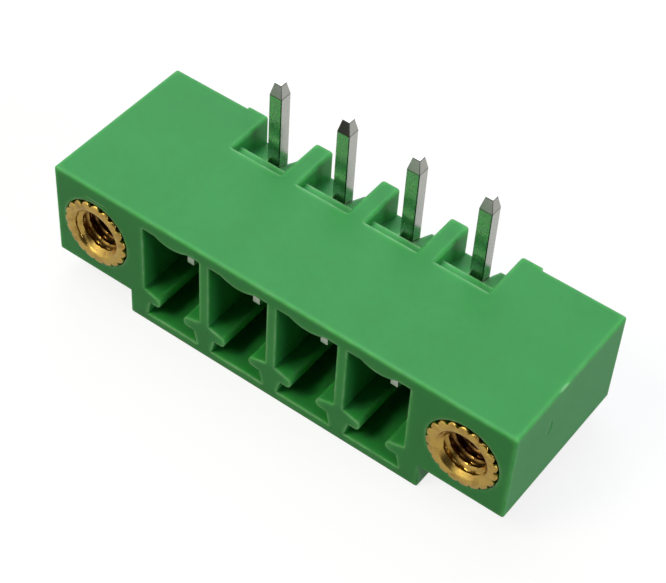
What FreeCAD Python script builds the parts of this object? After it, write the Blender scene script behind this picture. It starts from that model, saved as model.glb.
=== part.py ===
import FreeCAD, Part
import math
import operator
import os

import Sketcher

# Right-angle board header of a pluggable terminal block, one row of pins with a screw flange at
# each end. It lies as it rests on a bench: solder tails up, mating face towards -Y, flat side
# down. The origin is at the middle of the bounding box's bottom. All lengths are millimetres.
#
# Pieces: one moulded housing, one bent square pin for each position, two knurled brass inserts.

COUNTS = {
    "positions": (4, "number of pins in the row"),
    "tooth_count": (19, "teeth of an insert's knurl"),
}

# Every length that can be set by itself, with what it measures
SIZES = {
    "pitch": (3.81, "spacing of the pins"),
    "depth": (8.9, "pin section, mating face to rear"),
    "rear_step": (0.15, "flanges stop short of the pin section's rear"),
    "height": (6.8, "board side to rest side of the pin section"),
    "flange_height": (5.35, "board side to underside of a flange"),
    "end_wall": (0.88, "wall outside the first and last cavity"),
    "partition": (0.5, "wall between two cavities"),
    "board_wall": (0.65, "wall between the cavities and the board side"),
    "floor_wall": (0.55, "wall between the cavities and the rest side"),
    "cavity_depth": (5.6, "mating face to the bottom of a cavity"),
    "key_width": (1.9, "coding rib that hangs from the board wall"),
    "key_drop": (0.25, "height of the coding rib"),
    "foot_reach": (0.95, "foot of a partition, beyond the partition's face"),
    "foot_thickness": (0.55, "foot of a partition, top to underside at its tip"),
    "foot_round": (0.25, "rounding of the foot's tip"),
    "foot_rise": (0.2, "how much higher the foot's top is at the partition than at its tip"),
    "foot_lift": (0.85, "channel under the foot, floor to underside"),
    "stem_reach": (0.15, "stem under the foot, beyond the partition's face at the floor"),
    "stem_flare": (0.2, "how much further the stem reaches at the foot"),
    "notch_width": (2.8, "notch round a solder tail"),
    "notch_reach": (2.8, "rear of the pin section to the front of a notch"),
    "ledge_run": (0.72, "front to rear of the ledge in a notch"),
    "ledge_drop": (0.45, "board side to the ledge"),
    "ramp_start_drop": (1.0, "board side to the ramp, behind the ledge"),
    "ramp_end_drop": (1.7, "board side to the ramp, at the rear"),
    "slot_flare": (0.12, "widening of a pin slot at the rear, each side"),
    "pin_width": (0.7, "side of the square pin"),
    "pin_drop": (2.8, "board side to the axis of the pins and the inserts"),
    "pin_setback": (1.4, "mating face to the tip of a pin"),
    "pin_clearance": (0.02, "between a pin and the walls that hold it"),
    "tail_inset": (1.1, "rear of the pin section to the middle of a tail"),
    "tail_length": (3.7, "board side to the end of a tail"),
    "bend_inside": (0.3, "radius on the inside of the bend"),
    "taper_length": (0.7, "pointed end of a pin"),
    "taper_end": (0.38, "side of the flat at the end of a pin"),
    "insert_offset": (4.5, "last pin to the middle of an insert"),
    "flange_edge": (2.4, "middle of an insert to the outer side of its flange"),
    "insert_length": (5.5, "brass insert, end to end"),
    "insert_proud": (0.15, "insert stands out of the mating face"),
    "tooth_tip": (1.84, "axis of the insert to the top of a tooth"),
    "tooth_radius": (0.27, "rounding of a tooth"),
    "core_radius": (1.64, "axis of the insert to the gap between teeth"),
    "waist_radius": (1.5, "turned waist between the two knurled bands"),
    "waist_width": (1.1, "length of the waist"),
    "insert_chamfer": (0.1, "chamfer at both ends of an insert"),
    "thread_bore": (1.03, "radius of the tapped hole at its crests"),
    "sink_radius": (1.3, "radius of the countersink at the face"),
    "insert_clearance": (0.02, "between the teeth and the flange"),
    "screw_room_radius": (1.35, "radius of the blind hole behind an insert"),
    "screw_room_depth": (7.2, "mating face to the bottom of that hole"),
    "edge_round": (0.12, "rounding of the housing's outer edges"),
    "rib_round": (0.15, "rounding of the upright corners beside the notches"),
    "cut_beyond": (0.5, "how far an open cut runs past the face that it opens"),
}

SHEET_ROWS = {**COUNTS, **SIZES}
SHEET = "Sizes"

OPERATIONS = {"+": operator.add, "-": operator.sub, "*": operator.mul, "/": operator.truediv}


class Size:
    """A length with its value and the spreadsheet expression that gives it."""

    def __init__(self, value, text):
        self.value = value
        self.text = text

    def joined(self, sign, other, swapped=False):
        """This size and another one or a plain number, joined by an arithmetic sign."""
        if not isinstance(other, Size):
            other = Size(other, str(other))
        first, second = (other, self) if swapped else (self, other)
        value = OPERATIONS[sign](first.value, second.value)
        return Size(value, f"({first.text} {sign} {second.text})")

    def __add__(self, other):
        return self.joined("+", other)

    def __radd__(self, other):
        return self.joined("+", other, swapped=True)

    def __sub__(self, other):
        return self.joined("-", other)

    def __rsub__(self, other):
        return self.joined("-", other, swapped=True)

    def __mul__(self, other):
        return self.joined("*", other)

    def __rmul__(self, other):
        return self.joined("*", other, swapped=True)

    def __truediv__(self, other):
        return self.joined("/", other)

    def __neg__(self):
        return self.joined("*", -1)


def size(name):
    """A driving size by its name in the sheet."""
    return Size(SHEET_ROWS[name][0], f"{SHEET}.{name}")


def fill_sheet(doc):
    """Puts every driving size in the sheet: name, value with that name as alias, meaning."""
    sheet = doc.addObject("Spreadsheet::Sheet", SHEET)
    for row, (name, (value, meaning)) in enumerate(SHEET_ROWS.items(), start=1):
        sheet.set(f"A{row}", name)
        sheet.set(f"B{row}", str(value))
        sheet.set(f"C{row}", meaning)
        sheet.setAlias(f"B{row}", name)
    doc.recompute()


# Places that several pieces share
ZERO = Size(0.0, "0")
FRONT = (size("insert_proud") - size("depth")) / 2
REAR = FRONT + size("depth")
TOP = size("height")
ROW_HALF = (size("positions") - 1) * size("pitch") / 2
CAVITY_HALF = (size("pitch") - size("partition")) / 2
SECTION_HALF = ROW_HALF + CAVITY_HALF + size("end_wall")
INSERT_X = ROW_HALF + size("insert_offset")
HEADER_HALF = INSERT_X + size("flange_edge")
AXIS_Z = TOP - size("pin_drop")
TAIL_Y = REAR - size("tail_inset")
PIN_HALF = size("pin_width") / 2
PIN_ROOM = PIN_HALF + size("pin_clearance")


def new_body(doc, label):
    """A body whose label names its node."""
    body = doc.addObject("PartDesign::Body", label)
    body.Label = label
    return body


def new_sketch(body, name, role, offset=ZERO):
    """A sketch on one of the body's own origin planes, moved along the plane's normal."""
    sketch = body.newObject("Sketcher::SketchObject", name)
    plane = next(item for item in body.Origin.OriginFeatures if item.Role == role)
    sketch.AttachmentSupport = [(plane, "")]
    sketch.MapMode = "FlatFace"
    sketch.setExpression("AttachmentOffset.Base.z", offset.text)
    return sketch


def arc_between(start, end, radius, turn):
    """The short arc from start to end; it turns left (1) or right (-1) on its way."""
    chord = end - start
    half = chord.Length / 2
    reach = math.sqrt(max(radius * radius - half * half, 0.0))
    side = FreeCAD.Vector(-chord.y, chord.x, 0).normalize() * turn
    centre = (start + end) / 2 + side * reach
    first, last = (start, end) if turn > 0 else (end, start)
    first_angle = math.atan2(first.y - centre.y, first.x - centre.x)
    last_angle = math.atan2(last.y - centre.y, last.x - centre.x)
    circle = Part.Circle(centre, FreeCAD.Vector(0, 0, 1), radius)
    return Part.ArcOfCircle(circle, first_angle, last_angle)


def bind(sketch, size_wanted, *constraint):
    """Adds a dimension to the sketch and ties it to the sheet."""
    index = sketch.addConstraint(Sketcher.Constraint(*constraint, size_wanted.value))
    sketch.setExpression(f"Constraints[{index}]", size_wanted.text)


def draw_outline(sketch, corners, closed=True):
    """Draws the outline through the corners and ties every corner to its sizes.

    A corner is (across, up) or (across, up, radius, turn). With a radius, the edge that leaves
    the corner is an arc that turns left (1) or right (-1).
    """
    points = [FreeCAD.Vector(corner[0].value, corner[1].value, 0) for corner in corners]
    edge_count = len(corners) if closed else len(corners) - 1
    ends = []
    for index in range(edge_count):
        start = points[index]
        end = points[(index + 1) % len(points)]
        if len(corners[index]) == 2:
            edge = sketch.addGeometry(Part.LineSegment(start, end))
            ends.append((edge, 1, 2))
            continue
        radius, turn = corners[index][2:]
        edge = sketch.addGeometry(arc_between(start, end, radius.value, turn))
        ends.append((edge, 1, 2) if turn > 0 else (edge, 2, 1))
        bind(sketch, radius, "Radius", edge)
    for index, (edge, start_end, _) in enumerate(ends):
        if index > 0 or closed:
            before, _, before_end = ends[index - 1]
            sketch.addConstraint(Sketcher.Constraint("Coincident", before, before_end, edge, start_end))
        bind(sketch, corners[index][0], "DistanceX", -1, 1, edge, start_end)
        bind(sketch, corners[index][1], "DistanceY", -1, 1, edge, start_end)
    if not closed:
        edge, _, last_end = ends[-1]
        bind(sketch, corners[-1][0], "DistanceX", -1, 1, edge, last_end)
        bind(sketch, corners[-1][1], "DistanceY", -1, 1, edge, last_end)


def draw_circle(sketch, across, up, radius):
    """Draws a circle tied to the sheet."""
    centre = FreeCAD.Vector(across.value, up.value, 0)
    circle = sketch.addGeometry(Part.Circle(centre, FreeCAD.Vector(0, 0, 1), radius.value))
    bind(sketch, radius, "Radius", circle)
    bind(sketch, across, "DistanceX", -1, 1, circle, 3)
    bind(sketch, up, "DistanceY", -1, 1, circle, 3)


def box_corners(left, right, bottom, top):
    """The four corners of an upright rectangle."""
    return [(left, bottom), (right, bottom), (right, top), (left, top)]


def extrude(body, kind, name, sketch, length, reverse=False, symmetric=False):
    """A Pad or Pocket of a sketch."""
    feature = body.newObject(f"PartDesign::{kind}", name)
    feature.Profile = sketch
    feature.SideType = "Symmetric" if symmetric else "One side"
    feature.Reversed = reverse
    feature.setExpression("Length", length.text)
    return feature


def origin_axis(body, role):
    """One of the body's own axes, for a pattern or a turned feature."""
    return next(item for item in body.Origin.OriginFeatures if item.Role == role)


def add_blocks(body):
    """The flange bar and the deeper, taller pin section that stands on the bench."""
    bar = new_sketch(body, "FlangeBarOutline", "XZ_Plane", -FRONT)
    draw_outline(bar, box_corners(-HEADER_HALF, HEADER_HALF, TOP - size("flange_height"), TOP))
    extrude(body, "Pad", "FlangeBar", bar, size("depth") - size("rear_step"), reverse=True)
    section = new_sketch(body, "PinSectionOutline", "XZ_Plane", -FRONT)
    draw_outline(section, box_corners(-SECTION_HALF, SECTION_HALF, ZERO, TOP))
    return extrude(body, "Pad", "PinSection", section, size("depth"), reverse=True)


def near(first, second):
    """True where two lengths are the same place."""
    return abs(first - second) < 1e-4


def round_edges(body, name, base, edge_names, radius):
    """A fillet on the named edges of a feature."""
    fillet = body.newObject("PartDesign::Fillet", name)
    fillet.Base = (base, edge_names)
    fillet.setExpression("Radius", radius.text)
    return fillet


def outer_edges(shape):
    """The block's edges that a mould rounds: all but those of the step beside the pin section."""
    underside = (TOP - size("flange_height")).value
    names = []
    for number, edge in enumerate(shape.Edges, start=1):
        box = edge.BoundBox
        on_section_side = near(box.XLength, 0) and near(abs(box.XMin), SECTION_HALF.value)
        above_underside = box.ZMin > underside - 1e-4
        if not (on_section_side and above_underside):
            names.append(f"Edge{number}")
    return names


def notch_corner_edges(shape):
    """The upright edges where the notches' side walls meet the rear of the pin section."""
    names = []
    for number, edge in enumerate(shape.Edges, start=1):
        box = edge.BoundBox
        upright = near(box.XLength, 0) and near(box.YLength, 0)
        at_rear = near(box.YMin, REAR.value)
        from_middle = abs(box.XMin) + ROW_HALF.value
        across = from_middle % size("pitch").value
        half = size("notch_width").value / 2
        beside_notch = near(across, half) or near(across, size("pitch").value - half)
        if upright and at_rear and beside_notch:
            names.append(f"Edge{number}")
    return names


def cavity_corners(middle):
    """One cavity seen from the front, with half a footed partition at each side.

    The roof carries a shallow coding rib. The foot of the partition slopes down to a rounded tip,
    the stem under it widens towards it, and an open channel runs between the foot and the floor.
    """
    roof = TOP - size("board_wall")
    floor = size("floor_wall")
    foot_under = floor + size("foot_lift")
    foot_top = foot_under + size("foot_thickness")
    foot_root = foot_top + size("foot_rise")
    foot_tip = CAVITY_HALF - size("foot_reach")
    stem = CAVITY_HALF - size("stem_reach")
    stem_top = stem - size("stem_flare")
    rounding = size("foot_round")
    key_half = size("key_width") / 2
    key_radius = (key_half * key_half / size("key_drop") + size("key_drop")) / 2
    right = [
        (foot_tip + rounding, foot_under, rounding, -1),
        (foot_tip, foot_under + rounding),
        (foot_tip, foot_top - rounding, rounding, -1),
        (foot_tip + rounding, foot_top),
        (CAVITY_HALF, foot_root),
        (CAVITY_HALF, roof),
    ]
    left = [
        (-CAVITY_HALF, roof),
        (-CAVITY_HALF, foot_root),
        (-(foot_tip + rounding), foot_top, rounding, -1),
        (-foot_tip, foot_top - rounding),
        (-foot_tip, foot_under + rounding, rounding, -1),
        (-(foot_tip + rounding), foot_under),
    ]
    key = [(key_half, roof, key_radius, -1), (-key_half, roof)]
    stems = [(stem, floor), (stem_top, foot_under)]
    other_stem = [(-stem_top, foot_under), (-stem, floor)]
    corners = stems + right + key + left + other_stem
    return [(corner[0] + middle, *corner[1:]) for corner in corners]


def add_cavity(body, middle):
    """The opening that takes one pole of the plug."""
    sketch = new_sketch(body, "CavityOutline", "XZ_Plane", -FRONT)
    draw_outline(sketch, cavity_corners(middle))
    return extrude(body, "Pocket", "Cavity", sketch, size("cavity_depth"))


def add_notch(body, middle):
    """The open notch round a solder tail: a shallow ledge, then a ramp down to the rear."""
    ledge_front = REAR - size("notch_reach")
    ledge_rear = ledge_front + size("ledge_run")
    beyond = size("cut_beyond")
    ledge = TOP - size("ledge_drop")
    ramp_start = TOP - size("ramp_start_drop")
    ramp_end = TOP - size("ramp_end_drop")
    corners = [
        (ledge_front, TOP + beyond),
        (ledge_front, ledge),
        (ledge_rear, ledge),
        (ledge_rear, ramp_start),
        (REAR, ramp_end),
        (REAR + beyond, ramp_end),
        (REAR + beyond, TOP + beyond),
    ]
    sketch = new_sketch(body, "NotchProfile", "YZ_Plane", middle)
    draw_outline(sketch, corners)
    return extrude(body, "Pocket", "Notch", sketch, size("notch_width"), symmetric=True)


def add_slot(body, middle):
    """The slot, open to the rear and to the board side, that takes a pin's upright leg."""
    slot_front = TAIL_Y - PIN_ROOM - size("bend_inside")
    slot_rear = TAIL_Y + PIN_ROOM
    mouth = PIN_ROOM + size("slot_flare")
    beyond = REAR + size("cut_beyond")
    corners = [
        (middle - PIN_ROOM, slot_front),
        (middle + PIN_ROOM, slot_front),
        (middle + PIN_ROOM, slot_rear),
        (middle + mouth, REAR),
        (middle + mouth, beyond),
        (middle - mouth, beyond),
        (middle - mouth, REAR),
        (middle - PIN_ROOM, slot_rear),
    ]
    sketch = new_sketch(body, "SlotOutline", "XY_Plane", TOP)
    draw_outline(sketch, corners)
    return extrude(body, "Pocket", "Slot", sketch, size("pin_drop") + PIN_ROOM)


def add_pin_hole(body, middle):
    """The square hole from the cavity through the rear wall to the slot."""
    sketch = new_sketch(body, "PinHoleOutline", "XZ_Plane", -FRONT)
    left = middle - PIN_ROOM
    right = middle + PIN_ROOM
    draw_outline(sketch, box_corners(left, right, AXIS_Z - PIN_ROOM, AXIS_Z + PIN_ROOM))
    return extrude(body, "Pocket", "PinHole", sketch, TAIL_Y - FRONT)


def repeat_along_row(body, features):
    """Copies the cuts of the first position to every position."""
    row = body.newObject("PartDesign::LinearPattern", "Positions")
    row.Originals = features
    row.Direction = (origin_axis(body, "X_Axis"), [""])
    row.Mode = "Spacing"
    row.setExpression("Offset", size("pitch").text)
    row.setExpression("Occurrences", size("positions").text)
    body.Tip = row
    return row


def add_insert_holes(doc, body):
    """Two stepped blind holes in the flanges: the insert's seat and the screw's room."""
    sketch = new_sketch(body, "InsertCentres", "XZ_Plane", -FRONT)
    for side in (-INSERT_X, INSERT_X):
        draw_circle(sketch, side, AXIS_Z, size("screw_room_radius"))
    doc.recompute()
    hole = body.newObject("PartDesign::Hole", "InsertHoles")
    hole.Profile = sketch
    hole.DepthType = "Dimension"
    hole.HoleCutType = "Counterbore"
    hole.HoleCutCustomValues = True
    hole.DrillPoint = "Flat"
    seat_radius = size("tooth_tip") + size("insert_clearance")
    hole.setExpression("Diameter", (2 * size("screw_room_radius")).text)
    hole.setExpression("Depth", size("screw_room_depth").text)
    hole.setExpression("HoleCutDiameter", (2 * seat_radius).text)
    hole.setExpression("HoleCutDepth", (size("insert_length") - size("insert_proud")).text)
    return hole


def build_housing(doc):
    """The moulded housing."""
    body = new_body(doc, "housing")
    block = add_blocks(body)
    doc.recompute()
    round_edges(body, "OuterRounds", block, outer_edges(block.Shape), size("edge_round"))
    doc.recompute()
    middle = -ROW_HALF
    cuts = [
        add_cavity(body, middle),
        add_notch(body, middle),
        add_slot(body, middle),
        add_pin_hole(body, middle),
    ]
    row = repeat_along_row(body, cuts)
    doc.recompute()
    round_edges(body, "NotchRounds", row, notch_corner_edges(row.Shape), size("rib_round"))
    doc.recompute()
    add_insert_holes(doc, body)
    doc.recompute()
    return body


def build_pin(doc, number):
    """One square pin: a leg into the cavity, a right-angle bend and a solder tail."""
    body = new_body(doc, f"contact_pin_{number}")
    tip = FRONT + size("pin_setback")
    straight_start = tip + size("taper_length")
    tail_end = TOP + size("tail_length")
    straight_end = tail_end - size("taper_length")
    bend = size("bend_inside") + PIN_HALF
    path = new_sketch(body, "PinPath", "YZ_Plane")
    route = [
        (straight_start, AXIS_Z),
        (TAIL_Y - bend, AXIS_Z, bend, 1),
        (TAIL_Y, AXIS_Z + bend),
        (TAIL_Y, straight_end),
    ]
    draw_outline(path, route, closed=False)
    section = new_sketch(body, "PinSectionOutline", "XZ_Plane", -straight_start)
    draw_outline(section, box_corners(-PIN_HALF, PIN_HALF, AXIS_Z - PIN_HALF, AXIS_Z + PIN_HALF))
    wire = body.newObject("PartDesign::AdditivePipe", "PinWire")
    wire.Profile = section
    wire.Spine = (path, [""])
    doc.recompute()
    end_half = size("taper_end") / 2
    tip_flat = new_sketch(body, "TipFlat", "XZ_Plane", -tip)
    draw_outline(tip_flat, box_corners(-end_half, end_half, AXIS_Z - end_half, AXIS_Z + end_half))
    add_loft(body, "MatingPoint", section, tip_flat)
    tail_section = new_sketch(body, "TailSection", "XY_Plane", straight_end)
    draw_outline(tail_section, box_corners(-PIN_HALF, PIN_HALF, TAIL_Y - PIN_HALF, TAIL_Y + PIN_HALF))
    tail_flat = new_sketch(body, "TailFlat", "XY_Plane", tail_end)
    draw_outline(tail_flat, box_corners(-end_half, end_half, TAIL_Y - end_half, TAIL_Y + end_half))
    add_loft(body, "SolderPoint", tail_section, tail_flat)
    place = size("pitch") * (number - 1) - ROW_HALF
    body.setExpression("Placement.Base.x", place.text)
    return body


def add_loft(body, name, first, second):
    """The four-sided point between two squares."""
    loft = body.newObject("PartDesign::AdditiveLoft", name)
    loft.Profile = first
    loft.Sections = [(second, [""])]
    loft.Ruled = True
    return loft


def build_insert(doc, label, middle):
    """One turned and knurled brass insert with a tapped hole, its axis along Y."""
    body = new_body(doc, label)
    face = -size("insert_proud")
    end = face + size("insert_length")
    bore = size("thread_bore")
    sink = size("sink_radius") - bore
    core = size("core_radius")
    turned = new_sketch(body, "TurnedProfile", "XY_Plane")
    draw_outline(turned, [
        (size("sink_radius"), face),
        (core, face),
        (core, end),
        (bore, end),
        (bore, face + sink),
    ])
    barrel = body.newObject("PartDesign::Revolution", "Barrel")
    barrel.Profile = turned
    barrel.ReferenceAxis = (turned, ["V_Axis"])
    barrel.Angle = 360
    tooth_outline = new_sketch(body, "ToothOutline", "XZ_Plane", -face)
    tooth = size("tooth_radius")
    draw_circle(tooth_outline, size("tooth_tip") - tooth, ZERO, tooth)
    tooth_pad = extrude(body, "Pad", "Tooth", tooth_outline, size("insert_length"), reverse=True)
    knurl = body.newObject("PartDesign::PolarPattern", "Knurl")
    knurl.Originals = [tooth_pad]
    knurl.Axis = (origin_axis(body, "Y_Axis"), [""])
    knurl.Angle = 360
    knurl.setExpression("Occurrences", size("tooth_count").text)
    body.Tip = knurl
    doc.recompute()
    add_turned_cuts(body, face, end)
    body.setExpression("Placement.Base.x", middle.text)
    body.setExpression("Placement.Base.y", FRONT.text)
    body.setExpression("Placement.Base.z", AXIS_Z.text)
    return body


def add_turned_cuts(body, face, end):
    """The waist between the knurled bands and the chamfers that round off the teeth."""
    outside = size("tooth_tip") + size("insert_chamfer")
    chamfer_foot = size("tooth_tip") - size("insert_chamfer")
    slope = outside - chamfer_foot
    waist_middle = (face + end) / 2
    waist_half = size("waist_width") / 2
    cuts = new_sketch(body, "TurnedCuts", "XY_Plane")
    draw_outline(cuts, [(chamfer_foot, face), (outside, face), (outside, face + slope)])
    draw_outline(cuts, [(chamfer_foot, end), (outside, end - slope), (outside, end)])
    waist = size("waist_radius")
    draw_outline(cuts, box_corners(waist, outside, waist_middle - waist_half, waist_middle + waist_half))
    groove = body.newObject("PartDesign::Groove", "WaistAndChamfers")
    groove.Profile = cuts
    groove.ReferenceAxis = (cuts, ["V_Axis"])
    groove.Angle = 360
    return groove


def check_and_export(doc, bodies):
    """Stops on any failed feature or bad solid, then writes one file for each piece."""
    for item in doc.Objects:
        if "Invalid" in item.State or "Error" in item.State:
            raise RuntimeError(f"{item.Label} failed: {item.State}")
    for body in bodies:
        if body.Shape.isNull() or not body.Shape.isValid():
            raise RuntimeError(f"{body.Label} has no valid solid")
    os.makedirs("parts", exist_ok=True)
    for body in bodies:
        body.Shape.exportStep(f"parts/{body.Label}.step")
        box = body.Shape.BoundBox
        print(body.Label, f"volume {body.Shape.Volume:.3f}", f"solids {len(body.Shape.Solids)}",
              f"x {box.XMin:.3f} {box.XMax:.3f} y {box.YMin:.3f} {box.YMax:.3f}",
              f"z {box.ZMin:.3f} {box.ZMax:.3f}")


def main():
    doc = FreeCAD.newDocument("BoardHeader")
    fill_sheet(doc)
    bodies = [build_housing(doc)]
    for number in range(1, COUNTS["positions"][0] + 1):
        bodies.append(build_pin(doc, number))
    bodies.append(build_insert(doc, "threaded_insert_left", -INSERT_X))
    bodies.append(build_insert(doc, "threaded_insert_right", INSERT_X))
    doc.recompute()
    check_and_export(doc, bodies)


main()
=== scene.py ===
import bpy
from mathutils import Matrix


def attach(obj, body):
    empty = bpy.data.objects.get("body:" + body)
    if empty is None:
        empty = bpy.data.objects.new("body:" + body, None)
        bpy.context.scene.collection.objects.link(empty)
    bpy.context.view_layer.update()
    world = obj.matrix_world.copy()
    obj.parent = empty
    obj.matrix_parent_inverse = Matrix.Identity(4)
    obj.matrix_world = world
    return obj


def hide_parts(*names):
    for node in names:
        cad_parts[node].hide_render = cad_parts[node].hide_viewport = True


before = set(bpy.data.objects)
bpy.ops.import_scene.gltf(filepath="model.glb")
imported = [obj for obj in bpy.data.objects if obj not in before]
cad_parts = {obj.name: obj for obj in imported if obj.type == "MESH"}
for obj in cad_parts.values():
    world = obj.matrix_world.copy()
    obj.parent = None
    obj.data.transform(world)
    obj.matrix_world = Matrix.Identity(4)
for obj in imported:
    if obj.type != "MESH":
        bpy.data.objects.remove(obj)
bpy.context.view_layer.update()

import math

import bmesh
import bpy
import numpy as np
from bpy.props import (
    FloatProperty, FloatVectorProperty, IntProperty, PointerProperty, StringProperty)
from mathutils import Euler

bl_info = {
    "name": "Pluggable terminal block header",
    "version": (1, 0, 0),
    "blender": (4, 5, 0),
    "location": "View3D > Sidebar > Header",
    "description": "Dresses the packed header: moulded housing, tinned pins, brass inserts, studio",
    "category": "Object",
}

MM = 0.001

# How finely the curved surfaces are divided: stations round a pin's bend and round one of its
# corners, columns for one tooth of the knurl, rows for one turn of the thread, rows over the rim
# at each end of an insert, and rows across its front face with both edges
BEND_STEPS = 17
CORNER_STEPS = 13
TOOTH_STEPS = 12
THREAD_STEPS = 12
RIM_STEPS = 7
FACE_STEPS = 13

# Painted dark reflection on the tin at the six stations of a point, from its end flat to the
# plain wire, and on the tail's point all round
POINT_SHADE = (0.0, 0.8, 0.2, 0.2, 1.0, 0.0)
POINT_SHADE_ALL_ROUND = 0.2

# The thread's flat crest and its flank, each as a part of half a pitch
CREST_PART = 0.12
FLANK_PART = 0.6

# Painted shade on the outside of an insert, its greatest amount and the length over which it
# grows, and the depths between which it grows in the bore
OUTER_SHADE = 0.8
OUTER_SHADE_LENGTH = 0.15 * MM
BORE_SHADE_START = 0.3 * MM
BORE_SHADE_LENGTH = 0.9 * MM

# The length over which an insert's waist steps down and up again
HAIR = 0.001 * MM

# Marks of wear in the photograph, each an ellipsoid's middle and half sizes in mm
SCRATCH = ((-10.12, -4.375, 6.08), (0.8, 0.1, 0.035))
NICK = ((12.6, -0.7, 6.8), (0.12, 0.5, 0.12))
DIMPLE = ((12.615, -1.5, 4.85), (0.1, 0.24, 0.5))

# A face is square when this much of its direction lies along one axis, and this is the value
# by which Blender knows a strong face
SQUARE_SHARE = 0.99999
STRONG_FACE = 16384

# Each lamp's name, place in metres, side in metres, watts and tint, which is cool above and
# behind, and warm in front on the left
LAMPS = (
    ("top_softbox", (-0.04, 0.04, 0.416), 0.24, 0.52, (0.94, 1.0, 1.12)),
    ("left_softbox", (-0.15, -0.22, 0.32), 0.16, 0.78, (1.0, 1.0, 0.7)),
    ("back_softbox", (-0.18, 0.27, 0.375), 0.30, 0.60, (0.94, 1.0, 1.15)),
    ("side_softbox", (0.34, -0.01, 0.14), 0.18, 0.57, (1.0, 1.0, 1.0)),
)

# The middle of the room's dark side: in front on the right, and a little up
DARK_SIDE = (0.64, -0.75, 0.17)


class HeaderPinSettings(bpy.types.PropertyGroup):
    """Sizes of the square pins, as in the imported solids."""

    count: IntProperty(name="Pins", description="Number of pins in the row", default=4, min=1)
    pitch: FloatProperty(
        name="Spacing", description="Spacing of the pins",
        default=3.81 * MM, unit="LENGTH", precision=6)
    width: FloatProperty(
        name="Width", description="Side of the square wire",
        default=0.7 * MM, unit="LENGTH", precision=6)
    corner: FloatProperty(
        name="Corner", description="Rounding of the wire's long edges",
        default=0.05 * MM, unit="LENGTH", precision=6)
    tip_y: FloatProperty(
        name="Tip", description="Mating tip along Y",
        default=-2.975 * MM, unit="LENGTH", precision=6)
    tail_y: FloatProperty(
        name="Tail", description="Middle of the solder tail along Y",
        default=3.425 * MM, unit="LENGTH", precision=6)
    axis_z: FloatProperty(
        name="Axis height", description="Axis of the mating leg along Z",
        default=4.0 * MM, unit="LENGTH", precision=6)
    tail_top: FloatProperty(
        name="Tail end", description="End of the solder tail along Z",
        default=10.5 * MM, unit="LENGTH", precision=6)
    bend_inside: FloatProperty(
        name="Bend", description="Radius on the inside of the bend",
        default=0.3 * MM, unit="LENGTH", precision=6)
    taper_length: FloatProperty(
        name="Point length", description="Length of each pointed end",
        default=0.7 * MM, unit="LENGTH", precision=6)
    taper_end: FloatProperty(
        name="Point end", description="Side of the flat at each end",
        default=0.38 * MM, unit="LENGTH", precision=6)
    # The dark line round a point is a painted dark reflection
    dark_line: FloatProperty(
        name="Dark line", description="Width of the dark line round a point",
        default=0.04 * MM, unit="LENGTH", precision=6)
    # Painted dark reflection on the front of each tail's point, one amount a pin
    shaded_points: FloatVectorProperty(
        name="Dull points",
        description="How dull the front of each tail's point is, in turn along the row",
        default=(0.3, 0.8, 0.2, 0.25), size=4, subtype="NONE")


class HeaderInsertSettings(bpy.types.PropertyGroup):
    """Sizes of the knurled brass inserts and their thread."""

    offset: FloatProperty(
        name="Offset", description="Middle of the header to an insert's axis",
        default=10.215 * MM, unit="LENGTH", precision=6)
    axis_z: FloatProperty(
        name="Axis height", description="Axis of the inserts along Z",
        default=4.0 * MM, unit="LENGTH", precision=6)
    face_y: FloatProperty(
        name="Face", description="Front face of an insert along Y",
        default=-4.525 * MM, unit="LENGTH", precision=6)
    length: FloatProperty(
        name="Length", description="Length of an insert",
        default=5.5 * MM, unit="LENGTH", precision=6)
    teeth: IntProperty(name="Teeth", description="Teeth of the knurl", default=19, min=3)
    tip_radius: FloatProperty(
        name="Tooth tip", description="Radius over the teeth",
        default=1.84 * MM, unit="LENGTH", precision=6)
    tooth_radius: FloatProperty(
        name="Tooth rounding", description="Rounding of a tooth",
        default=0.27 * MM, unit="LENGTH", precision=6)
    core_radius: FloatProperty(
        name="Core", description="Radius between the teeth",
        default=1.64 * MM, unit="LENGTH", precision=6)
    waist_radius: FloatProperty(
        name="Waist", description="Radius of the waist",
        default=1.5 * MM, unit="LENGTH", precision=6)
    waist_width: FloatProperty(
        name="Waist width", description="Length of the waist",
        default=1.1 * MM, unit="LENGTH", precision=6)
    chamfer: FloatProperty(
        name="Chamfer", description="Chamfer at both ends",
        default=0.1 * MM, unit="LENGTH", precision=6)
    sink_radius: FloatProperty(
        name="Countersink", description="Radius at which the countersink meets the crowned face",
        default=1.32 * MM, unit="LENGTH", precision=6)
    crown: FloatProperty(
        name="Crown", description="Fall of the front face towards its two edges",
        default=0.05 * MM, unit="LENGTH", precision=6)
    crest_radius: FloatProperty(
        name="Thread crest", description="Radius at the thread's crests",
        default=1.03 * MM, unit="LENGTH", precision=6)
    root_radius: FloatProperty(
        name="Thread root", description="Radius at the thread's roots",
        default=1.25 * MM, unit="LENGTH", precision=6)
    thread_pitch: FloatProperty(
        name="Thread pitch", description="Rise of the thread in one turn",
        default=0.45 * MM, unit="LENGTH", precision=6)
    knurl_turn: FloatVectorProperty(
        name="Knurl turn",
        description="Turn of the left and the right insert's knurl, as in the photograph",
        default=(math.radians(10.5), math.radians(16.3)), size=2, subtype="NONE")
    thread_start: FloatVectorProperty(
        name="Thread start",
        description="Where the left and the right thread start, as a part of one turn",
        default=(0.611, 0.878), size=2, subtype="NONE")


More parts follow.
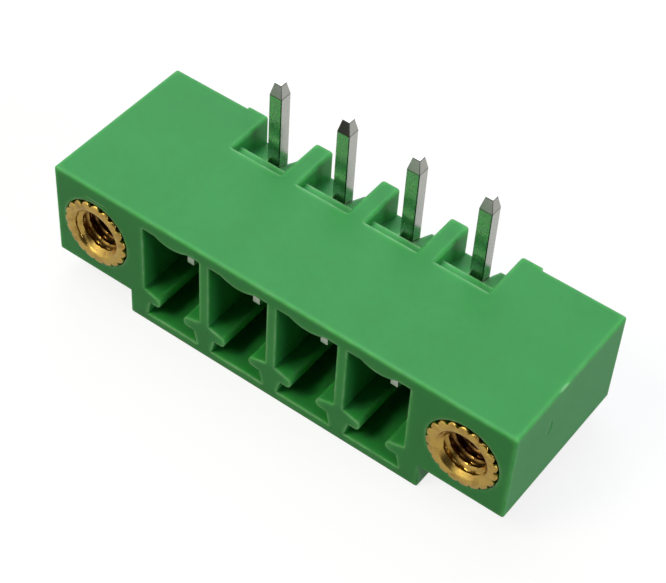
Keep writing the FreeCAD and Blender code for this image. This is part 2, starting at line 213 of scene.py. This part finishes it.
class HeaderFinishSettings(bpy.types.PropertyGroup):
    """Colours of the plastic, tin, brass and floor, as sRGB hex values."""

    plastic: StringProperty(
        name="Plastic", description="Moulded polyamide", default="#2F9344")
    plastic_pale: StringProperty(
        name="Pale plastic", description="Slightly paler polyamide", default="#3CA053")
    # Painted glow of thin walls and edges, where light shines through them
    plastic_painted_glow: StringProperty(
        name="Thin plastic", description="Thin walls and edges", default="#52B65E")
    # A scratch and a nick, and the painted highlight along the edges
    plastic_scratch_and_highlight: StringProperty(
        name="Rubbed plastic", description="Rubbed edges and scratches", default="#8ECD96")
    tin: StringProperty(
        name="Tin", description="Plated tin", default="#D0D1CA")
    # Painted dark reflections along the wire's edges and on its points
    tin_painted_shade: StringProperty(
        name="Dark tin", description="Thin, dull tin along the edges", default="#4A4643")
    brass: StringProperty(
        name="Brass", description="Turned brass", default="#CDAA58")
    # Tarnish in patches, and painted shade down the bore and down the outside behind the front face
    brass_tarnish_and_shade: StringProperty(
        name="Dull brass", description="Tarnish in the brass's hollows", default="#693824")
    floor: StringProperty(
        name="Floor", description="Floor, apart from its own light", default="#707070")


class HeaderStageSettings(bpy.types.PropertyGroup):
    """The camera, solved from the photograph, and the floor."""

    camera_place: FloatVectorProperty(
        name="Camera place", description="Camera position",
        default=(31.9788 * MM, -47.7367 * MM, 66.4352 * MM),
        subtype="XYZ", unit="LENGTH", precision=6)
    camera_turn: FloatVectorProperty(
        name="Camera turn", description="Camera rotation",
        default=(math.radians(42.267), math.radians(-2.7668), math.radians(36.6874)),
        subtype="EULER")
    lens: FloatProperty(
        name="Lens", description="Focal length in millimetres for a 36 mm sensor", default=100.95)
    floor_reach: FloatProperty(
        name="Floor", description="Half the floor's side", default=0.6, unit="LENGTH")


def linear(hex_text):
    """An sRGB hex colour as linear red, green, blue and alpha."""
    channels = np.array([int(hex_text[i:i + 2], 16) for i in (1, 3, 5)]) / 255.0
    low = channels / 12.92
    high = ((channels + 0.055) / 1.055) ** 2.4
    return (*np.where(channels <= 0.04045, low, high).tolist(), 1.0)


def add_node(tree, kind, settings=None, inputs=None):
    """Adds one shader node with its settings. An input is a value or another node's socket."""
    node = tree.nodes.new(kind)
    for name, value in (settings or {}).items():
        setattr(node, name, value)
    for socket, value in (inputs or {}).items():
        if isinstance(value, bpy.types.NodeSocket):
            tree.links.new(value, node.inputs[socket])
        else:
            node.inputs[socket].default_value = value
    return node


def new_material(name):
    """An empty node material, its tree, and the object's own coordinates in it."""
    material = bpy.data.materials.new(name)
    material.use_nodes = True
    tree = material.node_tree
    tree.nodes.clear()
    place = add_node(tree, "ShaderNodeTexCoord").outputs["Object"]
    return material, tree, place


def near_edge(tree, distance, full):
    """One where other sides of the same piece leave no more than full of the view inside it open.

    It is nought where nothing lies within the distance.
    """
    inside = add_node(
        tree, "ShaderNodeAmbientOcclusion", {"inside": True, "only_local": True, "samples": 12},
        {"Distance": distance})
    near = add_node(tree, "ShaderNodeMapRange", inputs={
        "Value": inside.outputs["AO"], "From Min": min(full + 0.5, 1.0), "From Max": full})
    return near.outputs["Result"]


def mark(tree, place, middle, half):
    """One well inside an ellipsoid, nought outside it, from its middle and half sizes in mm."""
    local = add_node(tree, "ShaderNodeMapping", {"vector_type": "TEXTURE"}, {
        "Vector": place,
        "Location": tuple(np.array(middle) * MM), "Scale": tuple(np.array(half) * MM)})
    reach = add_node(
        tree, "ShaderNodeVectorMath", {"operation": "LENGTH"}, {0: local.outputs["Vector"]})
    inside = add_node(tree, "ShaderNodeMapRange", inputs={
        "Value": reach.outputs["Value"], "From Min": 1.0, "From Max": 0.5})
    return inside.outputs["Result"]


def moulded_polyamide(finish):
    """Injection-moulded green polyamide: satin, faintly uneven, soft at every edge."""
    material, tree, place = new_material("moulded_polyamide_green")
    # Broad, faint clouding where the melt cooled unevenly
    cloud = add_node(tree, "ShaderNodeTexNoise", inputs={
        "Vector": place, "Scale": 1 / (3.03 * MM), "Detail": 3.0})
    tint = add_node(tree, "ShaderNodeMix", {"data_type": "RGBA"}, {
        0: cloud.outputs["Fac"], 6: linear(finish.plastic), 7: linear(finish.plastic_pale)})
    # Painted glow: thin walls and edges let light through, and are painted paler within 0.45 mm of
    # another side
    glow = add_node(tree, "ShaderNodeMix", {"data_type": "RGBA"}, {
        0: near_edge(tree, distance=0.45 * MM, full=0.35),
        6: tint.outputs[2], 7: linear(finish.plastic_painted_glow)})
    # Painted highlight: outer edges are painted paler in a line of about 0.1 mm, in patches of
    # about 0.7 mm
    uneven = add_node(tree, "ShaderNodeTexNoise", inputs={
        "Vector": place, "Scale": 1 / (0.7143 * MM), "Detail": 3.0})
    patches = add_node(tree, "ShaderNodeMapRange", inputs={
        "Value": uneven.outputs["Fac"],
        "From Min": 0.35, "From Max": 0.65, "To Min": 0.25, "To Max": 0.85})
    edge_highlight = add_node(tree, "ShaderNodeMath", {"operation": "MULTIPLY"}, {
        0: near_edge(tree, distance=0.14 * MM, full=0.6), 1: patches.outputs["Result"]})
    # A fine scratch on the left flange's front and a nick on the right end's top edge
    marks = add_node(tree, "ShaderNodeMath", {"operation": "MAXIMUM"}, {
        0: mark(tree, place, *SCRATCH), 1: mark(tree, place, *NICK)})
    # The paler edge line is painted highlight; the scratch and the nick are real marks
    pale = add_node(tree, "ShaderNodeMath", {"operation": "MAXIMUM"}, {
        0: edge_highlight.outputs[0], 1: marks.outputs[0]})
    scratched_and_highlit = add_node(tree, "ShaderNodeMix", {"data_type": "RGBA"}, {
        0: pale.outputs[0], 6: glow.outputs[2], 7: linear(finish.plastic_scratch_and_highlight)})
    # Spark-eroded tool texture, which breaks the highlights up
    grain = add_node(tree, "ShaderNodeTexNoise", inputs={
        "Vector": place, "Scale": 1 / (0.0625 * MM), "Detail": 2.0})
    gloss = add_node(tree, "ShaderNodeMapRange", inputs={
        "Value": grain.outputs["Fac"], "To Min": 0.36, "To Max": 0.52})
    # Light runs softly round every edge, and into a shallow oval dimple on the right end
    edge = add_node(tree, "ShaderNodeBevel", {"samples": 6}, {"Radius": 0.06 * MM})
    dimple = add_node(tree, "ShaderNodeBump", {"invert": True}, {
        "Distance": 0.15 * MM, "Height": mark(tree, place, *DIMPLE),
        "Normal": edge.outputs["Normal"]})
    bump = add_node(tree, "ShaderNodeBump", inputs={
        "Strength": 0.12, "Distance": 0.004 * MM,
        "Height": grain.outputs["Fac"], "Normal": dimple.outputs["Normal"]})
    shader = add_node(tree, "ShaderNodeBsdfPrincipled", inputs={
        "Base Color": scratched_and_highlit.outputs[2],
        "Roughness": gloss.outputs["Result"],
        "Normal": bump.outputs["Normal"],
        "IOR": 1.53,
        # The fine texture hides part of the sheen
        "Specular IOR Level": 0.22,
        # Green light creeps about 1 mm into the plastic and through its thin walls
        "Subsurface Weight": 0.6,
        "Subsurface Radius": (0.15, 1.0, 0.12),
        "Subsurface Scale": 1.0 * MM})
    add_node(tree, "ShaderNodeOutputMaterial", inputs={"Surface": shader.outputs["BSDF"]})
    return material


def tinned_wire(finish):
    """Tin-plated copper alloy wire, drawn square: bright under a faint haze, with painted dark
    reflections along its edges.
    """
    material, tree, place = new_material("tin_plated_wire")
    # Painted dark reflections along the drawn edges and on the points
    painted_shade = add_node(tree, "ShaderNodeAttribute", {"attribute_name": "painted_shade"})
    tint = add_node(tree, "ShaderNodeMix", {"data_type": "RGBA"}, {
        0: painted_shade.outputs["Fac"], 6: linear(finish.tin), 7: linear(finish.tin_painted_shade)})
    # Crystal haze of the plating
    haze = add_node(tree, "ShaderNodeTexNoise", inputs={
        "Vector": place, "Scale": 1 / (0.1538 * MM), "Detail": 3.0})
    gloss = add_node(tree, "ShaderNodeMapRange", inputs={
        "Value": haze.outputs["Fac"], "To Min": 0.16, "To Max": 0.34})
    bump = add_node(tree, "ShaderNodeBump", inputs={
        "Strength": 0.15, "Distance": 0.006 * MM, "Height": haze.outputs["Fac"]})
    shader = add_node(tree, "ShaderNodeBsdfPrincipled", inputs={
        "Base Color": tint.outputs[2],
        "Metallic": 1.0,
        "Roughness": gloss.outputs["Result"],
        "Normal": bump.outputs["Normal"]})
    add_node(tree, "ShaderNodeOutputMaterial", inputs={"Surface": shader.outputs["BSDF"]})
    return material


def turned_brass(finish):
    """Free-cutting brass, turned and knurled: bright gold, tarnished in patches, with painted
    red-brown shade down in the bore.
    """
    material, tree, place = new_material("turned_brass")
    # Uneven tarnish in small patches, and painted shade down in the bore and down the outside
    # behind the front face
    tarnish = add_node(tree, "ShaderNodeTexNoise", inputs={
        "Vector": place, "Scale": 1 / (0.4 * MM), "Detail": 4.0})
    patches = add_node(tree, "ShaderNodeMapRange", inputs={
        "Value": tarnish.outputs["Fac"], "From Min": 0.45, "From Max": 0.75, "To Max": 0.5})
    painted_shade = add_node(tree, "ShaderNodeAttribute", {"attribute_name": "painted_shade"})
    amount = add_node(tree, "ShaderNodeMath", {"operation": "MAXIMUM"}, {
        0: patches.outputs["Result"], 1: painted_shade.outputs["Fac"]})
    tint = add_node(tree, "ShaderNodeMix", {"data_type": "RGBA"}, {
        0: amount.outputs[0], 6: linear(finish.brass), 7: linear(finish.brass_tarnish_and_shade)})
    gloss = add_node(tree, "ShaderNodeMapRange", inputs={
        "Value": tarnish.outputs["Fac"], "To Min": 0.18, "To Max": 0.34})
    # Cutting marks, drawn coarser than the real ones, that make the ring glitter unevenly
    cuts = add_node(tree, "ShaderNodeTexNoise", inputs={
        "Vector": place, "Scale": 1 / (0.125 * MM), "Detail": 2.0})
    bump = add_node(tree, "ShaderNodeBump", inputs={
        "Strength": 0.35, "Distance": 0.012 * MM, "Height": cuts.outputs["Fac"]})
    shader = add_node(tree, "ShaderNodeBsdfPrincipled", inputs={
        "Base Color": tint.outputs[2],
        "Metallic": 1.0,
        "Roughness": gloss.outputs["Result"],
        "Normal": bump.outputs["Normal"]})
    add_node(tree, "ShaderNodeOutputMaterial", inputs={"Surface": shader.outputs["BSDF"]})
    return material


def mesh_object(name, mesh, material, sharp_angle=35.0):
    """An object at the origin that is smooth except where it turns by more than the angle."""
    mesh.polygons.foreach_set("use_smooth", np.ones(len(mesh.polygons), bool))
    mesh.set_sharp_from_angle(angle=math.radians(sharp_angle))
    mesh.materials.clear()
    mesh.materials.append(material)
    piece = bpy.data.objects.new(name, mesh)
    bpy.context.scene.collection.objects.link(piece)
    # Square faces keep their own direction, so a narrow rounding beside them doesn't tint them
    directions = np.empty(len(mesh.polygons) * 3, np.float32)
    mesh.polygons.foreach_get("normal", directions)
    square = np.abs(directions.reshape(-1, 3)).max(1) > SQUARE_SHARE
    strength = mesh.attributes.new("__mod_weightednormals_faceweight", "INT", "FACE")
    strength.data.foreach_set("value", np.where(square, STRONG_FACE, 0).astype(np.int32))
    weighted = piece.modifiers.new("square_faces_flat", "WEIGHTED_NORMAL")
    weighted.keep_sharp = True
    weighted.use_face_influence = True
    return piece


def grid_mesh(name, points, painted_shade, closed_along):
    """A mesh from points[along, around, xyz], which always closes around.

    Each cell of the grid is one quad. Along, it closes into a ring, or its two end rings are
    each filled with one flat face. The painted shade, 0 to 1 at each point, is kept for the
    material.
    """
    along, around = points.shape[:2]
    index = np.arange(along * around).reshape(along, around)
    rows = index if closed_along else index[:-1]
    following = np.roll(index, -1, 0) if closed_along else index[1:]
    quads = np.stack(
        [rows, np.roll(rows, -1, 1), np.roll(following, -1, 1), following], -1).reshape(-1, 4)
    faces = quads.tolist()
    if not closed_along:
        faces += [index[0, ::-1].tolist(), index[-1].tolist()]
    mesh = bpy.data.meshes.new(name)
    mesh.from_pydata(points.reshape(-1, 3).tolist(), [], faces)
    mesh.update()
    layer = mesh.attributes.new("painted_shade", "FLOAT", "POINT")
    layer.data.foreach_set("value", painted_shade.ravel())
    return mesh


def outward(mesh):
    """Turns the faces of a closed mesh outwards."""
    work = bmesh.new()
    work.from_mesh(mesh)
    bmesh.ops.recalc_face_normals(work, faces=work.faces)
    work.to_mesh(mesh)
    work.free()
    return mesh


def dress(piece, node_name):
    """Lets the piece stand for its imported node, which it hides, on the part's one body."""
    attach(piece, "root")
    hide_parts(node_name)


def pin_points(pins, middle, shaded):
    """A rounded square carried along the pin's path, and the painted dark reflection on its tin at
    each point.

    The path runs along +Y, turns through a quarter circle and runs up along +Z. The square's half
    side grows evenly from the end flat over each point's length. Each ring is four corner arcs.
    Painted dark reflection darkens the tin along the middle of the corner arcs, sin(2 a) over an
    arc's angle a, and in a thin line beside each end flat and round the start of each point. The
    end flats are clean. The tail's point gets a little painted dark reflection all round, and more
    towards its front by shaded times the sine of the direction.
    """
    half = pins.width / 2
    end_half = pins.taper_end / 2
    bend = pins.bend_inside + half
    turn = np.linspace(0, np.pi / 2, BEND_STEPS)
    # Stations along one end: its flat, the dark line beside it, the point, and its start
    line = pins.dark_line
    ends = np.array([
        0, line, 2 * line,
        pins.taper_length - line, pins.taper_length, pins.taper_length + line])
    path_y = np.concatenate([
        pins.tip_y + ends, pins.tail_y - bend + bend * np.sin(turn),
        np.full(len(ends), pins.tail_y)])
    path_z = np.concatenate([
        np.full(len(ends), pins.axis_z), pins.axis_z + bend - bend * np.cos(turn),
        pins.tail_top - ends[::-1]])
    angle = np.concatenate([np.zeros(len(ends)), turn, np.full(len(ends), np.pi / 2)])
    point_half = end_half + (half - end_half) * np.minimum(ends / pins.taper_length, 1)
    side = np.concatenate([point_half, np.full(len(turn), half), point_half[::-1]])
    along_shade = np.concatenate([POINT_SHADE, np.zeros(len(turn)), POINT_SHADE[::-1]])
    corner = (pins.corner * side / half)[:, None, None]
    inset = side[:, None, None] - corner
    arc = np.linspace(0, np.pi / 2, CORNER_STEPS)
    start = np.arange(4)[:, None] * np.pi / 2
    direction = start + arc[None, :]
    across = np.sign(np.cos(start + np.pi / 4)) * inset + corner * np.cos(direction)
    over = np.sign(np.sin(start + np.pi / 4)) * inset + corner * np.sin(direction)
    across = across.reshape(len(angle), -1)
    over = over.reshape(len(angle), -1)
    y = path_y[:, None] - over * np.sin(angle)[:, None]
    z = path_z[:, None] + over * np.cos(angle)[:, None]
    # Painted dark reflections along the corner arcs and round each point, none on the end flats
    painted_shade = np.maximum(along_shade[:, None], np.tile(np.sin(2 * arc), 4)[None, :])
    painted_shade[[0, -1]] = 0
    point_shade = POINT_SHADE_ALL_ROUND + shaded * np.sin(direction).ravel()
    painted_shade[[-4, -3]] = np.maximum(painted_shade[[-4, -3]], point_shade)
    return np.stack([across + middle, y, z], -1), painted_shade


def insert_points(insert, middle, knurl_turn, thread_start):
    """A knurled ring's section carried round its axis, with the thread inside, and its painted
    shade.

    Outside, the radius at each angle is the larger of the core and the nearest tooth's circle,
    kept under the waist's radius in the waist and under the two chamfer cones at the ends. The
    knurl starts at the angle knurl_turn. The front face falls back by the crown times the cube of
    the distance from its middle, in parts of its half width. Inside, the radius is a trapezium
    wave of depth along y that climbs one thread pitch a turn and starts thread_start of a turn
    on, kept over the countersink's cone. Painted shade grows evenly with depth: over the first part
    of the outside, and over a longer part of the bore, where the crests have two thirds of the
    roots'.
    """
    turn = np.linspace(0, 2 * np.pi, insert.teeth * TOOTH_STEPS, endpoint=False)
    tooth_middle = insert.tip_radius - insert.tooth_radius
    step = 2 * np.pi / insert.teeth
    aside = (turn - knurl_turn + step / 2) % step - step / 2
    offset = tooth_middle * np.sin(aside)
    on_tooth = np.abs(offset) < insert.tooth_radius
    reach = np.sqrt(np.clip(insert.tooth_radius ** 2 - offset ** 2, 0, None))
    gear = np.where(on_tooth, tooth_middle * np.cos(aside) + reach, 0)
    gear = np.maximum(gear, insert.core_radius)
    waist_start = insert.length / 2 - insert.waist_width / 2
    waist_end = insert.length / 2 + insert.waist_width / 2
    rim = 2 * insert.chamfer
    outer_y = np.concatenate([
        np.linspace(insert.crown, rim, RIM_STEPS),
        [waist_start, waist_start + HAIR, waist_end - HAIR, waist_end],
        np.linspace(insert.length - rim, insert.length, RIM_STEPS)])
    in_waist = (outer_y > waist_start + HAIR / 2) & (outer_y < waist_end - HAIR / 2)
    cone = insert.tip_radius - insert.chamfer + np.minimum(outer_y, insert.length - outer_y)
    outer = np.minimum(gear[None, :], cone[:, None])
    outer = np.where(in_waist[:, None], np.minimum(outer, insert.waist_radius), outer)
    bore_rows = int(insert.length / insert.thread_pitch * THREAD_STEPS) + 1
    bore_y = np.linspace(insert.length, insert.crown, bore_rows)
    turns = bore_y[:, None] / insert.thread_pitch + turn[None, :] / (2 * np.pi) + thread_start
    wave = turns % 1.0
    depth = np.clip((np.minimum(wave, 1 - wave) * 2 - CREST_PART) / FLANK_PART, 0, 1)
    bore = insert.crest_radius + (insert.root_radius - insert.crest_radius) * depth
    bore = np.maximum(bore, (insert.sink_radius + insert.crown - bore_y)[:, None])
    part = np.linspace(0, 1, FACE_STEPS)[1:-1]
    face = bore[-1] + (outer[0] - bore[-1]) * part[:, None]
    face_y = insert.crown * np.abs(2 * part - 1) ** 3
    radius = np.concatenate([outer, bore, face])
    y = np.concatenate([outer_y, bore_y, face_y])[:, None] + np.zeros_like(radius)
    # Painted shade: darker down the outside behind the front face, and down the bore, crests less
    # than roots
    outer_growth = np.clip((outer_y - insert.crown) / OUTER_SHADE_LENGTH, 0, 1)
    outer_shade = OUTER_SHADE * outer_growth[:, None] + np.zeros_like(outer)
    bore_growth = np.clip((bore_y - BORE_SHADE_START) / BORE_SHADE_LENGTH, 0, 1)
    bore_shade = bore_growth[:, None] * (2 + depth) / 3
    painted_shade = np.concatenate([outer_shade, bore_shade, np.zeros_like(face)])
    x = middle + radius * np.cos(turn)
    z = insert.axis_z + radius * np.sin(turn)
    return np.stack([x, insert.face_y + y, z], -1), painted_shade


class HEADER_OT_dress_housing(bpy.types.Operator):
    """Gives the moulded housing its merged, smooth surface and its plastic"""

    bl_idname = "header.dress_housing"
    bl_label = "Dress housing"

    def execute(self, context):
        material = moulded_polyamide(context.scene.header_finish)
        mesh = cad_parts["housing"].data.copy()
        work = bmesh.new()
        work.from_mesh(mesh)
        bmesh.ops.remove_doubles(work, verts=work.verts, dist=0.0005 * MM)
        # Triangles of one flat face become one face, whose direction holds up to its roundings
        bmesh.ops.dissolve_limit(
            work, angle_limit=math.radians(0.3), verts=work.verts, edges=work.edges)
        work.to_mesh(mesh)
        work.free()
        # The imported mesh's own corner directions don't fit the merged faces
        if "custom_normal" in mesh.attributes:
            mesh.attributes.remove(mesh.attributes["custom_normal"])
        piece = mesh_object("housing_moulding", mesh, material)
        dress(piece, "housing")
        return {"FINISHED"}


class HEADER_OT_build_pins(bpy.types.Operator):
    """Builds the square contact pins with their rounded edges, bend and points"""

    bl_idname = "header.build_pins"
    bl_label = "Build pins"

    def execute(self, context):
        pins = context.scene.header_pins
        material = tinned_wire(context.scene.header_finish)
        for number in range(1, pins.count + 1):
            middle = (number - (pins.count + 1) / 2) * pins.pitch
            shaded = pins.shaded_points[(number - 1) % len(pins.shaded_points)]
            points, painted_shade = pin_points(pins, middle, shaded)
            mesh = outward(grid_mesh(f"pin_wire_{number}", points, painted_shade, closed_along=False))
            # A point starts with a sharp edge of 13 degrees, and a corner turns by 7.5 a step
            piece = mesh_object(f"contact_wire_{number}", mesh, material, sharp_angle=10.0)
            dress(piece, f"contact_pin_{number}")
        return {"FINISHED"}


class HEADER_OT_build_inserts(bpy.types.Operator):
    """Builds the two knurled brass inserts with their countersink and thread"""

    bl_idname = "header.build_inserts"
    bl_label = "Build inserts"

    def execute(self, context):
        insert = context.scene.header_insert
        material = turned_brass(context.scene.header_finish)
        for index, (side, sign) in enumerate((("left", -1), ("right", 1))):
            points, painted_shade = insert_points(
                insert, sign * insert.offset, insert.knurl_turn[index], insert.thread_start[index])
            mesh = outward(grid_mesh(f"insert_{side}", points, painted_shade, closed_along=True))
            piece = mesh_object(f"knurled_insert_{side}", mesh, material)
            dress(piece, f"threaded_insert_{side}")
        return {"FINISHED"}


class HEADER_OT_build_stage(bpy.types.Operator):
    """Sets the pale floor, the white room, the soft lamps and the camera"""

    bl_idname = "header.build_stage"
    bl_label = "Build stage"

    def execute(self, context):
        scene = context.scene
        stage = scene.header_stage
        self.add_floor(stage, scene.header_finish)
        self.set_world(scene)
        for lamp in LAMPS:
            self.add_lamp(scene, *lamp)
        self.add_camera(scene, stage)
        scene.view_settings.view_transform = "Standard"
        return {"FINISHED"}

    def seen_directly(self, tree):
        """One for a ray from the eye, from a mirror or through glass, and nought for the rest."""
        path = add_node(tree, "ShaderNodeLightPath")
        seen = add_node(tree, "ShaderNodeMath", {"operation": "MAXIMUM"}, {
            0: path.outputs["Is Camera Ray"], 1: path.outputs["Is Glossy Ray"]})
        seen_through = add_node(tree, "ShaderNodeMath", {"operation": "MAXIMUM"}, {
            0: seen.outputs[0], 1: path.outputs["Is Transmission Ray"]})
        return seen_through.outputs[0]

    def add_floor(self, stage, finish):
        """One flat square on which the header rests, near white to the eye without a shadow."""
        reach = stage.floor_reach
        corners = [(-reach, -reach, 0), (reach, -reach, 0), (reach, reach, 0), (-reach, reach, 0)]
        mesh = bpy.data.meshes.new("floor")
        mesh.from_pydata(corners, [], [(0, 1, 2, 3)])
        material, tree, _ = new_material("pale_paper_floor")
        # Mirrors see the floor about half as bright as the eye does
        to_eye = add_node(tree, "ShaderNodeLightPath").outputs["Is Camera Ray"]
        level = add_node(
            tree, "ShaderNodeMapRange", inputs={"Value": to_eye, "To Min": 0.46, "To Max": 0.84})
        glow = add_node(tree, "ShaderNodeMath", {"operation": "MULTIPLY"}, {
            0: self.seen_directly(tree), 1: level.outputs["Result"]})
        shader = add_node(tree, "ShaderNodeBsdfPrincipled", inputs={
            "Base Color": linear(finish.floor),
            "Roughness": 0.9,
            "Emission Color": (1, 1, 1, 1),
            "Emission Strength": glow.outputs[0]})
        add_node(tree, "ShaderNodeOutputMaterial", inputs={"Surface": shader.outputs["BSDF"]})
        floor = mesh_object("floor", mesh, material)

    def set_world(self, scene):
        """A white room to the eye and to mirrors, at a plain level as a light.

        Mirrors also see the dark side of the room, where the photographer stands. It fades in
        from about 50 to 35 degrees off its middle.
        """
        world = bpy.data.worlds.new("white_room")
        world.use_nodes = True
        scene.world = world
        tree = world.node_tree
        tree.nodes.clear()
        level = add_node(tree, "ShaderNodeMapRange", inputs={
            "Value": self.seen_directly(tree), "To Min": 0.03, "To Max": 1.0})
        towards = add_node(tree, "ShaderNodeTexCoord").outputs["Generated"]
        nearness = add_node(
            tree, "ShaderNodeVectorMath", {"operation": "DOT_PRODUCT"}, {0: towards, 1: DARK_SIDE})
        shade = add_node(tree, "ShaderNodeMapRange", inputs={
            "Value": nearness.outputs["Value"],
            "From Min": 0.64, "From Max": 0.82, "To Max": 0.95})
        mirrored = add_node(tree, "ShaderNodeLightPath").outputs["Is Glossy Ray"]
        taken = add_node(tree, "ShaderNodeMath", {"operation": "MULTIPLY"}, {
            0: shade.outputs["Result"], 1: mirrored})
        strength = add_node(tree, "ShaderNodeMath", {"operation": "SUBTRACT", "use_clamp": True}, {
            0: level.outputs["Result"], 1: taken.outputs[0]})
        light = add_node(tree, "ShaderNodeBackground", inputs={
            "Color": (1, 1, 1, 1), "Strength": strength.outputs[0]})
        add_node(tree, "ShaderNodeOutputWorld", inputs={"Surface": light.outputs["Background"]})

    def add_lamp(self, scene, name, place, side, watts, tint):
        """A square softbox that faces the header."""
        data = bpy.data.lights.new(name, "AREA")
        data.size = side
        data.energy = watts
        data.color = tint
        lamp = bpy.data.objects.new(name, data)
        lamp.location = place
        aim = -lamp.location
        lamp.rotation_euler = aim.to_track_quat("-Z", "Y").to_euler()
        scene.collection.objects.link(lamp)

    def add_camera(self, scene, stage):
        """The camera in the photograph's place, which sees from a millimetre to ten metres."""
        data = bpy.data.cameras.new("photo_camera")
        data.lens = stage.lens
        data.sensor_width = 36.0
        data.clip_start = 0.001
        data.clip_end = 10.0
        camera = bpy.data.objects.new("photo_camera", data)
        camera.location = stage.camera_place
        camera.rotation_euler = Euler(stage.camera_turn, "XYZ")
        scene.collection.objects.link(camera)
        scene.camera = camera


class HEADER_PT_sidebar(bpy.types.Panel):
    """Lists the header's sizes, finishes and steps"""

    bl_idname = "HEADER_PT_sidebar"
    bl_label = "Terminal block header"
    bl_space_type = "VIEW_3D"
    bl_region_type = "UI"
    bl_category = "Header"

    def draw(self, context):
        layout = self.layout
        for group in GROUPS:
            box = layout.box()
            settings = getattr(context.scene, group)
            for name in settings.bl_rna.properties.keys():
                if name not in ("rna_type", "name"):
                    box.prop(settings, name)
        for operator in STEPS:
            layout.operator(operator.bl_idname)


GROUPS = {
    "header_pins": HeaderPinSettings,
    "header_insert": HeaderInsertSettings,
    "header_finish": HeaderFinishSettings,
    "header_stage": HeaderStageSettings,
}
STEPS = (
    HEADER_OT_dress_housing, HEADER_OT_build_pins, HEADER_OT_build_inserts, HEADER_OT_build_stage)


def register():
    """Registers the classes and hangs each group of settings on the scene."""
    for kind in (*GROUPS.values(), *STEPS, HEADER_PT_sidebar):
        bpy.utils.register_class(kind)
    for name, kind in GROUPS.items():
        setattr(bpy.types.Scene, name, PointerProperty(type=kind))


def unregister():
    """Takes the settings off the scene and the classes out again."""
    for name in GROUPS:
        delattr(bpy.types.Scene, name)
    for kind in (HEADER_PT_sidebar, *reversed(STEPS), *reversed(tuple(GROUPS.values()))):
        bpy.utils.unregister_class(kind)


def main():
    """Builds the dressed part and its stage."""
    register()
    bpy.ops.header.dress_housing()
    bpy.ops.header.build_pins()
    bpy.ops.header.build_inserts()
    bpy.ops.header.build_stage()


if __name__ == "__main__":
    main()
